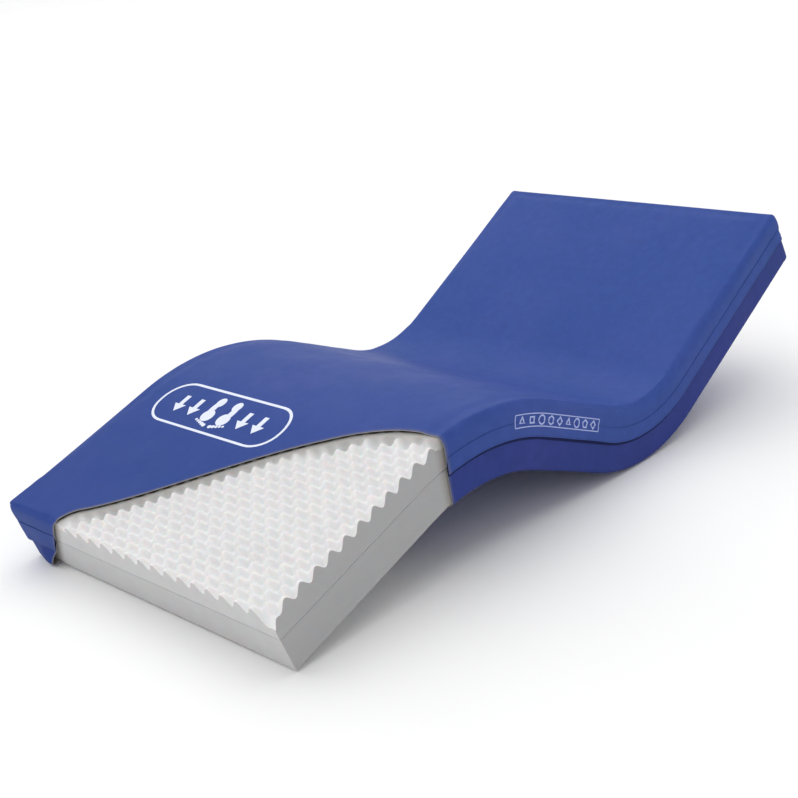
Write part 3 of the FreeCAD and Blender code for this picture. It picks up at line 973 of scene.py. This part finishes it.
FOOT_HEM = 0.054
TAPE_LOW, TAPE_HIGH, TAPE_OUT, TAPE_THICK = 0.068, 0.100, 0.0001, 0.0008
CHAIN_MIDDLE, TAPE_OPENING = 0.084, 0.0016
TOOTH_PITCH, STAGGER, STITCH_PITCH, HEM_WIDE = 0.0030, 0.0007, 0.0036, 0.0040
# Half the length, half the height and the thickness of a zip tooth and of a stitch.
TOOTH, STITCH = (0.00062, 0.0014, 0.0020), (0.0013, 0.00028, 0.0003)
TAPE_SEAMS = (TAPE_LOW + 0.0015, TAPE_HIGH - 0.0015)
# The flap's slight waves, as (share, radians for each metre, start), and how far they move it: outward
# and at its hem, which lies HEM_OUT from the wall.
WAVES = ((0.5, 21.0, 0.0), (0.3, 47.0, 1.3), (0.2, 8.3, 0.4))
RIPPLE, HEM_RIPPLE, HEM_OUT = 0.00045, 0.0009, 0.0050
# The flap's cross-section, from the seam down the outside, round the hem and up the inside: the share
# of its drop, and millimetres out from the wall.
FLAP_DROP = (0.0, 0.02, 0.12, 0.35, 0.60, 0.76, 0.80, 0.97, 1.0, 1.0, 0.97, 0.79, 0.72, 0.4, 0.1, 0.03)
FLAP_OUT = (2.95, 3.15, 3.6, 4.3, 4.7, 4.75, 5.05, 5.1, 4.9, 3.3, 3.0, 3.0, 3.4, 3.1, 2.4, 2.0)


def wall_path(head_end):
    """Round the outside of the walls, as rows of station, across, and the outward way along and across.

    It starts and ends at the head end, or, with the head end too, halfway along the near side.
    """
    half, corner = WIDTH / 2 - WALL_INSET, PLAN_CORNER
    first, last = WALL_INSET, LENGTH - WALL_INSET
    along = lines(first + corner, last - corner, COVER_STEP, PARTINGS)
    across = lines(corner - half, half - corner, COVER_STEP)
    sides = ((along[::-1], -half), (first, across), (along, half), (last, across[::-1]))
    centres = zip(along[[0, 0, -1, -1]], across[[0, -1, -1, 0]])
    rows = []
    for turns, (side, centre) in enumerate(zip(sides, centres)):
        facing = math.radians(270 - 90 * turns)
        rows.append(stacked(*side, math.cos(facing), math.sin(facing)))
        turned = facing - np.radians(np.linspace(0, 90, 9))[1:-1]
        cosine, sine = np.cos(turned), np.sin(turned)
        rows.append(stacked(centre[0] + corner * cosine, centre[1] + corner * sine, cosine, sine))
    if not head_end:
        return np.vstack(rows[:5])
    rows = np.vstack(rows)
    start = int(np.argmin(np.abs(rows[:, 0] - PARTINGS[3]) + (rows[:, 1] > 0)))
    rows = np.roll(rows, -start, axis=0)
    return np.vstack([rows, rows[:1]])


def gone_along(path):
    """How far along the path each of its rows lies."""
    return np.concatenate([[0], np.cumsum(np.linalg.norm(np.diff(path[:, :2], axis=0), axis=1))])


def strip(path, out, height):
    """A closed band along the path: out and height give its cross-section, one row for each path row."""
    station, across, outward_along, outward_across = path.T[:, :, None]
    place = stacked(station + outward_along * out, across + outward_across * out, height)
    faces = around(*place.shape[:2])
    flat = place.reshape(-1, 3)
    points = LINE.bend(flat)
    return Skin([points, smooth_normals(points, faces), flat], faces)


def add_strip(skin, kind, material, layer):
    """Parts a band at the mattress's partings, and cuts it at the window."""
    skin = skin.clipped(window_depth(skin.flat))
    for number, segment, piece in skin.lengths():
        obj = piece.solid(f"{kind}_{segment}", [material])
        keep_cut(obj)
        attach(obj, number, layer)
        if layer == "storm_flap":
            size = (FLAP_SEAM - FLAP_HEM, 2 * length_of(number) + (WIDTH if number == 0 else 0))
            area_within(piece.flat_area() / 2, size)


def add_flap():
    """The strip that hangs over the zip, with a turned hem and a slight wave along it."""
    path = wall_path(False)
    gone = gone_along(path)
    wave = sum(size * np.sin(gone * rate + start) for size, rate, start in WAVES)
    at_foot = eased(path[:, 0], 0.035, -0.03)
    hem = FLAP_HEM - (FLAP_HEM - FOOT_HEM) * at_foot + HEM_RIPPLE * wave
    drop = (FLAP_SEAM - hem)[:, None]
    share = np.array(FLAP_DROP)
    out = np.array(FLAP_OUT) / 1000 + RIPPLE * wave[:, None] * share
    skin = strip(path, out, FLAP_SEAM + 0.001 - drop * share)
    add_strip(skin, "flap", BLUE_FLAP, "storm_flap")
    sewn = evenly(np.column_stack([path, hem + HEM_WIDE, HEM_OUT + 0.0004 * wave]), STITCH_PITCH)
    add_blocks("hem_stitches", [blocks(sewn, sewn[:, 5], sewn[:, 4], STITCH, 0.5)], THREAD, "storm_flap")
    return skin


def evenly(path, pitch):
    """Rows at an even pitch along the path; more columns than its four are carried along."""
    gone = gone_along(path)
    places = np.arange(pitch / 2, gone[-1], pitch)
    rows = np.stack([np.interp(places, gone, column) for column in path.T], -1)
    rows[:, 2:4] = unit(rows[:, 2:4])
    return rows


def blocks(rows, out, height, size, narrow):
    """A small block on the wall at every row, its top narrower: mattress coordinates of its corners."""
    half_long, half_high, thick = size
    points = []
    for level, share in ((0.0, 1.0), (0.7 * thick, 1.0), (thick, narrow)):
        for a, b in ((-1, -1), (1, -1), (1, 1), (-1, 1)):
            away, aside = out + level, a * half_long * share
            station = rows[:, 0] + rows[:, 2] * away - rows[:, 3] * aside
            across = rows[:, 1] + rows[:, 3] * away + rows[:, 2] * aside
            points.append(stacked(station, across, height + b * half_high * share))
    return np.stack(points, 1)


def add_blocks(kind, sets, material, slot):
    """Makes one object of small blocks for each length of the mattress."""
    sides = [[0, 3, 2, 1], [8, 9, 10, 11]]
    sides += [[r + n, r + (n + 1) % 4, r + 4 + (n + 1) % 4, r + 4 + n] for r in (0, 4) for n in range(4)]
    corners = np.vstack(sets)
    middles = corners.mean(1)
    for number, segment in enumerate(SEGMENTS):
        kept = (middles[:, 0] > EDGES[number]) & (middles[:, 0] < EDGES[number + 1])
        kept &= window_depth(middles) > 0.002
        flat = corners[kept].reshape(-1, 3)
        faces = Faces.of((np.arange(kept.sum())[:, None, None] * 12 + np.array(sides)).reshape(-1, 4))
        obj = faceted(f"{kind}_{segment}", LINE.bend(flat), faces, material, flat)
        attach(obj, number, slot=slot)


def add_zip():
    """Two woven tapes, each sewn along its outer edge, and the closed chain of teeth between them."""
    path = wall_path(True)
    edges = ((TAPE_LOW, CHAIN_MIDDLE - TAPE_OPENING), (CHAIN_MIDDLE + TAPE_OPENING, TAPE_HIGH))
    bands = []
    for low, high in edges:
        out = np.tile([TAPE_OUT, TAPE_THICK, TAPE_THICK, TAPE_OUT], (len(path), 1))
        bands.append(strip(path, out, np.tile([high, high, low, low], (len(path), 1))))
    add_strip(joined(bands), "zip_tape", TAPE, "zip")
    rows = evenly(path, TOOTH_PITCH / 2)
    staggered = CHAIN_MIDDLE + STAGGER * np.where(np.arange(len(rows)) % 2, 1, -1)
    add_blocks("zip_teeth", [blocks(rows, 0.0002, staggered, TOOTH, 0.55)], TEETH, "zip")
    sewn = evenly(path, STITCH_PITCH)
    seams = [blocks(sewn, TAPE_THICK - TAPE_OUT, height, STITCH, 0.5) for height in TAPE_SEAMS]
    add_blocks("tape_stitches", seams, THREAD, "zip")


# ---------------------------------------------------------------- zip slider

SLIDER_ACROSS = 0.372
# One side of the slider's plate, along the zip and up the wall.
SLIDER_SIDE = [(-0.0075, -0.003), (-0.003, -0.0034), (0.0035, -0.0044), (0.0062, -0.0042), (0.0075, -0.0026)]
PIN_OUT, PIN_RADIUS, EYE_RADIUS = 0.0058, 0.0008, 0.0011
PULL_WIDTH, PULL_LONG, PULL_THICK = 0.005, 0.030, 0.0014
# Where the grip ridges of the pull tab and the end stops begin, along the zip from the slider.
GRIPS, END_STOPS = (0.0095, 0.0112, 0.0129, 0.0146), (-0.0108, -0.0168)
BODY_LOW, BODY_HIGH, LUGS, LUG_THICK, PIN_HALF = 0.0011, 0.0032, (-0.0044, 0.0028), 0.0016, 0.0047
BEVEL, FINE_BEVEL = 0.0006, 0.0002


def on_head_end(points):
    """Places on the head end wall, from places along the zip to the near side, up the wall, and outward."""
    station = LENGTH - WALL_INSET
    axes = np.stack([(0.0, -1.0, 0.0), LINE.upward(station), LINE.forward(station)])
    return LINE.point(station, CHAIN_MIDDLE, SLIDER_ACROSS) + points @ axes


def outward(outline):
    """The way out at each point of a closed outline that runs anticlockwise."""
    return unit(np.roll(outline, -1, 0) - np.roll(outline, 1, 0)) @ np.array([[0.0, -1.0], [1.0, 0.0]])


def turned_prism(outline, low, high, chamfer, upright=False, hole=None):
    """A bevelled plate with that outline, from low to high: outward, or for an upright one up the wall."""
    outline = np.asarray(outline, float)
    inner = outline - outward(outline) * chamfer
    rings = [(inner, low), (outline, low + chamfer), (outline, high - chamfer), (inner, high)]
    count = len(outline)
    if hole is not None:
        rings += [(hole, high), (hole, low), rings[0]]
    points = np.vstack([stacked(ring[:, 0], ring[:, 1], level) for ring, level in rings])
    faces = around(len(rings), count)
    if hole is None:
        faces = faces + Faces.of([range(count)[::-1], range(len(points) - count, len(points))])
    if upright:
        return points[:, (0, 2, 1)], faces.flipped()
    return points, faces


def arc_points(centre, radius, start, end, count):
    """Points on an arc; the radius may differ along the two axes."""
    angles = np.radians(np.linspace(start, end, count))
    return np.column_stack([np.cos(angles), np.sin(angles)]) * radius + centre


def rectangle(left, low, right, high):
    """Corners of a rectangle, anticlockwise."""
    return [(left, low), (right, low), (right, high), (left, high)]


def add_hardware_piece(name, parts, body, node):
    """One rigid metal piece on the head end, from several closed parts."""
    points, faces = merged(parts)
    obj = faceted(name, on_head_end(points), faces, PAINTED_METAL, points)
    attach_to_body(obj, body)
    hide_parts(node)


def add_slider():
    """The slider with its two lugs and pin, its pull tab, and the two end stops."""
    shield = SLIDER_SIDE + [(x, -y) for x, y in SLIDER_SIDE[::-1]]
    parts = [turned_prism(shield, BODY_LOW, BODY_HIGH, BEVEL)]
    round_pin = arc_points((0, PIN_OUT), 2 * PIN_RADIUS, -20, 200, 13)
    foot = BODY_HIGH - 0.0004
    lug = np.vstack([[(0.0032, foot)], round_pin, [(-0.0032, foot)]])
    parts += [turned_prism(lug, near, near + LUG_THICK, FINE_BEVEL, True) for near in LUGS]
    pin = arc_points((0, PIN_OUT), PIN_RADIUS, 0, 342, 20)
    parts.append(turned_prism(pin, -PIN_HALF, PIN_HALF, FINE_BEVEL, True))
    add_hardware_piece("slider_body", parts, "slider", "zip_slider")

    half = PULL_WIDTH / 2
    rings = [arc_points((0, PIN_OUT), share * EYE_RADIUS, 0, 345, 24) for share in (2, 1)]
    eye = turned_prism(rings[0], -half, half, 0.0003, True, rings[1])
    waist = [(EYE_RADIUS * 1.75, half * 0.9), (0.008, half * 0.72), (0.015, half * 0.8)]
    tip = arc_points((PULL_LONG - half, 0), half, -75, 75, 13)
    outline = np.vstack([[(x, -y) for x, y in waist], tip, waist[::-1]])
    slot = arc_points((0.0215, 0), (0.0042, 0.0011), -169.2, 169.2, len(outline))
    low, high = PIN_OUT - PULL_THICK / 2, PIN_OUT + PULL_THICK / 2
    parts = [eye, turned_prism(outline, low, high, 0.00025, hole=slot)]
    ridges = [rectangle(start, -0.0013, start + 0.0007, 0.0013) for start in GRIPS]
    parts += [turned_prism(ridge, high - 0.0001, high + 0.0004, 0.0001) for ridge in ridges]
    add_hardware_piece("pull_tab_plate", parts, "pull_tab", "zip_pull_tab")

    stops = [rectangle(start, -0.0034, start + 0.003, 0.0034) for start in END_STOPS]
    parts = [turned_prism(stop, 0.0018, 0.0036, BEVEL) for stop in stops]
    add_hardware_piece("end_stop_pair", parts, "back", "zip_end_stops")


# ---------------------------------------------------------------- printed marks

# Each shape lies a little further out than the one before it, so that none shares a surface.
PRINT_OUT, PRINT_THICK, PRINT_LIFT, PRINT_STEP = 0.0004, 0.0005, 0.00001, 0.004
MARK_STATION, MARK_ACROSS, MARK_LONG, MARK_HIGH = 0.414, 0.135, 0.420, 0.132
SOLE_ACROSS, ARROWS_ACROSS = 0.027, (0.084, 0.135)
# Parts of a bare sole, as (aside, back, half width, half length, last angle, points): ball, arch and
# heel; and its toes, as (aside, back, radius).
SOLE = (
    (0.0, -0.012, 0.0175, 0.0195, 340, 18),
    (0.005, 0.012, 0.0085, 0.024, 337, 16),
    (0.001, 0.032, 0.012, 0.014, 337, 16),
)
TOES = [(0.0088 * toe - 0.0165, 0.0026 * toe - 0.041, 0.0054 - 0.0005 * toe) for toe in range(5)]
ARROW_HEAD = [(-0.0185, -0.002), (0.0, -0.027), (0.0185, -0.002)]
ARROW_STEM = rectangle(-0.0065, -0.002, 0.0065, 0.027)
STRIP_FIRST, STRIP_LAST, STRIP_LOW, STRIP_HIGH = 0.713, 1.020, 0.0965, 0.1265
# How many corners each sign on the side has, and how far apart they are.
SIGN_CORNERS, SIGN_PITCH = (3, 4, 30, 6, 4, 3, 30, 5, 4), 0.0325


def resampled(outline):
    """A closed outline with points close enough to follow the cloth."""
    outline = np.asarray(outline, float)
    found = []
    for first, second in zip(outline, np.roll(outline, -1, 0)):
        count = max(1, math.ceil(float(np.linalg.norm(second - first)) / PRINT_STEP))
        found.append(first + (second - first) * np.arange(count)[:, None] / count)
    return np.vstack(found)


def rounded_rectangle(width, high, radius):
    """Outline of a rectangle with round corners, about its middle."""
    x, y = width / 2 - radius, high / 2 - radius
    centres = ((x, y, 0), (-x, y, 90), (-x, -y, 180), (x, -y, 270))
    return np.vstack([arc_points((a, b), radius, start, start + 90, 9) for a, b, start in centres])


def polygon(radius, corners, start=90):
    """Corners of a regular polygon about its middle."""
    return arc_points((0, 0), radius, start, start + 360 * (corners - 1) / corners, corners)


def outlined(outline, width):
    """A closed stroke just inside the outline."""
    outer = resampled(outline)
    return np.vstack([outer - outward(outer) * width, outer]), around(2, len(outer), False)


def filled(outline, rings=4):
    """A filled shape, as rings that shrink to its middle."""
    outer = resampled(outline)
    middle, count = outer.mean(0), len(outer)
    points = np.vstack([middle + (outer - middle) * share for share in np.linspace(0.12, 1, rings)])
    return points, around(rings, count, False) + Faces.of([range(count)])


def moved(shape, x, y=0.0):
    """The shape in another place."""
    points, faces = shape
    return points + (x, y), faces


def add_print(name, shapes, to_flat, way, segment, surface, material):
    """Lays flat shapes on the cover: to_flat gives mattress coordinates, way the side they face."""
    points, faces = merged(shapes)
    order = np.repeat(np.arange(len(shapes)), [len(shape[0]) for shape in shapes])
    flat = to_flat(points)
    inside = LINE.bend(flat)
    normal = LINE.upward(flat[:, 0]) if way == "up" else np.tile((0.0, -1.0, 0.0), (len(flat), 1))
    place = []
    for point, out, raised in zip(inside, normal, PRINT_OUT + PRINT_LIFT * order):
        hit = surface.ray_cast(Vector(point + out * 0.03), Vector(-out))[0]
        place.append(np.array(hit) + out * raised)
    obj = Skin([place, normal, flat], faces).shell(name, PRINT_THICK, [material])
    attach(obj, segment, slot="cover_top")


def foot_end_mark():
    """Outline with two bare soles between arrows that point to the foot end."""
    shapes = [outlined(rounded_rectangle(MARK_LONG, MARK_HIGH, 0.062), 0.0065)]
    for side in (-1, 1):
        for aside, back, half_wide, half_long, last, count in SOLE:
            part = arc_points((side * aside, back), (half_wide, half_long), 0, last, count)
            shapes.append(moved(filled(part), side * SOLE_ACROSS))
        for aside, back, size in TOES:
            toe = filled(polygon(size, 12), rings=2)
            shapes.append(moved(toe, side * (aside + SOLE_ACROSS), back))
        for away in ARROWS_ACROSS:
            shapes += [moved(filled(part), side * away) for part in (ARROW_HEAD, ARROW_STEM)]
    return shapes


def side_strip():
    """An outlined strip with a row of plain geometric signs."""
    shapes = [outlined(rounded_rectangle(STRIP_LAST - STRIP_FIRST, STRIP_HIGH - STRIP_LOW, 0.003), 0.0022)]
    for number, corners in enumerate(SIGN_CORNERS):
        start = 45 if corners == 4 and number % 2 else 90
        sign = outlined(polygon(0.0114, corners, start), 0.0034)
        shapes.append(moved(sign, (number - (len(SIGN_CORNERS) - 1) / 2) * SIGN_PITCH))
    return shapes


def add_prints(cloth):
    """The mark on the foot end's top and the strip on the near side, laid on the cloth."""
    corners = np.split(cloth.faces.corners, cloth.faces.starts[1:])
    surface = BVHTree.FromPolygons(cloth.place.tolist(), [face.tolist() for face in corners])
    middle, height = (STRIP_FIRST + STRIP_LAST) / 2, (STRIP_LOW + STRIP_HIGH) / 2

    def on_top(points):
        return stacked(MARK_STATION + points[:, 1], MARK_ACROSS - points[:, 0], DEPTH)

    def on_near_side(points):
        return stacked(middle + points[:, 0], -WIDTH / 2, height + points[:, 1])

    add_print("print_foot_end_mark", foot_end_mark(), on_top, "up", 0, surface, WHITE_INK)
    add_print("print_side_strip", side_strip(), on_near_side, "near", 2, surface, PALE_INK)


# ---------------------------------------------------------------- stage, light and camera

CAMERA_PLACE = Vector((-2.214, -2.103, 1.302))
CAMERA_LENS, CAMERA_SENSOR = 59.9, 36.0
VIEW_TURN, VIEW_FALL, VIEW_ROLL = 0.7808, 0.3551, -0.0982


def add_camera():
    """Looks from the near side of the foot end, turned, tipped down and rolled by the three angles."""
    data = bpy.data.cameras.new("camera")
    data.lens, data.sensor_width = CAMERA_LENS, CAMERA_SENSOR
    camera = bpy.data.objects.new("camera", data)
    turned = Matrix.Rotation(-VIEW_TURN, 4, "Z") @ Matrix.Rotation(math.pi / 2 - VIEW_FALL, 4, "X")
    rolled = turned @ Matrix.Rotation(VIEW_ROLL, 4, "Z")
    camera.matrix_world = Matrix.Translation(CAMERA_PLACE) @ rolled
    bpy.context.scene.collection.objects.link(camera)
    bpy.context.scene.camera = camera


def add_stage():
    """A pale round floor that curves up far away."""
    flat_reach, curve = 24.0, 8.0
    rise, turns = np.radians(np.linspace(0, 80, 13)), np.radians(np.arange(0, 360, 5))
    radius = np.append(0.001, flat_reach + curve * np.sin(rise))[:, None]
    height = np.append(0.0, curve * (1 - np.cos(rise)))[:, None]
    points = stacked(radius * np.cos(turns), radius * np.sin(turns), height)
    faces = around(*points.shape[:2], flip=False)
    made = Material("pale_floor", roughness=0.75)
    floor_noise = made.noise(made.node("TexCoord", "Object"), 2.0, 3.0)
    shade = made.mix(floor_noise, (0.93, 0.93, 0.93, 1), (0.96, 0.96, 0.96, 1))
    floor = new_object("floor", points.reshape(-1, 3), faces, [made.set(Base_Color=shade)])
    floor.location.z = -0.0005
    floor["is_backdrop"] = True


def add_sun(name, place, strength, spread):
    """A wide, even light that comes from the direction of that place."""
    data = bpy.data.lights.new(name, "SUN")
    data.energy, data.angle = strength, math.radians(spread)
    light = bpy.data.objects.new(name, data)
    light.location = place
    light.rotation_euler = Vector(place).to_track_quat("Z", "Y").to_euler()
    bpy.context.scene.collection.objects.link(light)


def add_lights():
    """A white studio, with one light over the mattress and one by its foot end."""
    world = bpy.data.worlds.new("studio")
    world.use_nodes = True
    background = world.node_tree.nodes["Background"]
    background.inputs["Color"].default_value = (1, 1, 1, 1)
    background.inputs["Strength"].default_value = 0.45
    bpy.context.scene.world = world
    add_sun("over", (0.35, 1.5, 3.5), 1.95, 100)
    add_sun("foot_side", (-3.0, -1.8, 1.9), 0.42, 60)
    bpy.context.scene.view_settings.view_transform = "Standard"


add_camera()
add_stage()
add_lights()
whole_cover = make_cover()
add_cover(whole_cover)
add_foam()
whole_flap = add_flap()
add_zip()
add_slider()
add_prints(joined([whole_cover, whole_flap]))

visual_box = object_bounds()
boxes = {"cad": cad_box, "visual": visual_box}
{name: [list(corner) for corner in box] for name, box in boxes.items()}
